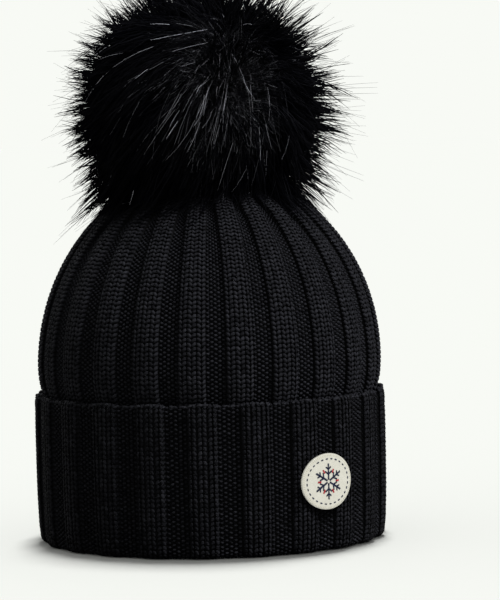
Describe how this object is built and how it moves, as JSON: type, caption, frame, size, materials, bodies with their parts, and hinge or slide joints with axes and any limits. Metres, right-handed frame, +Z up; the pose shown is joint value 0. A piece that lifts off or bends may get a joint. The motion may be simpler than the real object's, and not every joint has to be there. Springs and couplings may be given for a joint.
{
  "type": "knit cap with pompom",
  "caption": "Rib-knit winter cap with a turned-up cuff, a fur pompom on its gathered top and a small round felt patch.",
  "frame": {"origin": "on the surface that the cap rests on, under the middle of the cuff", "axes": "+Z up through the pompom, -Y the front, with the patch towards +X"},
  "size_m": [0.1754, 0.1755, 0.2803],
  "materials": {
    "wool_knit": "matte rib-knit wool, near black",
    "black_fur": "glossy black fur with a few grey guard hairs",
    "tie_nylon": "plain black nylon",
    "cream_felt": "thick cream felt with embroidery"
  },
  "bodies": {
    "root": {"crown": "wool_knit", "cuff": "wool_knit", "pompom": "black_fur", "pompom_tie": "tie_nylon", "patch": "cream_felt"}
  },
  "joints": []
}
